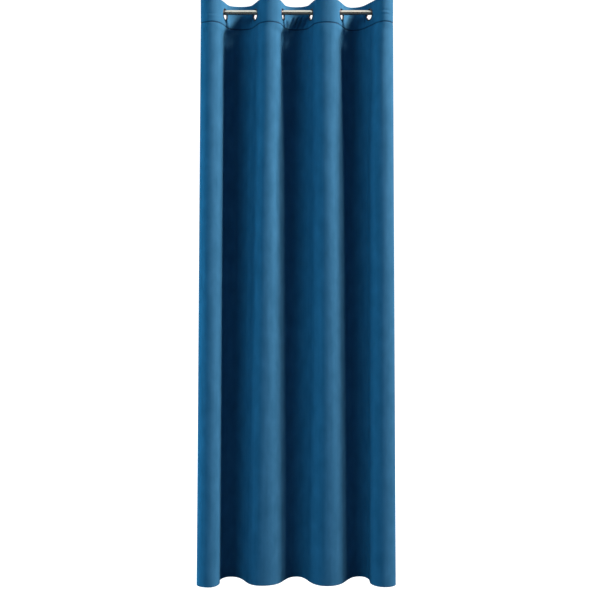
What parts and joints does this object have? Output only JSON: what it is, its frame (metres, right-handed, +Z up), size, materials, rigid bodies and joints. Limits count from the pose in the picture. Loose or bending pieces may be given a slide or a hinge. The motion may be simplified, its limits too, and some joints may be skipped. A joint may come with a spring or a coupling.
{
  "type": "velvet eyelet curtain on a rod",
  "caption": "Full-length velvet curtain in soft upright folds, hung by metal eyelets in its stiffened heading on a plain round rod.",
  "frame": {"origin": "middle of the rod's axis, where its brackets would carry it", "axes": "+Z up along the drop, +X along the rod, to the right as seen from the room, +Y towards the wall"},
  "size_m": [0.8425, 0.1371, 2.45],
  "materials": {
    "velvet": "short-pile velvet with a pale sheen, petrol blue",
    "eyelet_metal": "dark gunmetal plating, satin",
    "rod_metal": "satin nickel"
  },
  "bodies": {
    "root": {"panel": "velvet", "heading": "velvet", "eyelet_1": "eyelet_metal", "eyelet_2": "eyelet_metal", "eyelet_3": "eyelet_metal", "eyelet_4": "eyelet_metal", "eyelet_5": "eyelet_metal", "eyelet_6": "eyelet_metal", "eyelet_7": "eyelet_metal", "eyelet_8": "eyelet_metal", "rod": "rod_metal"}
  },
  "joints": []
}
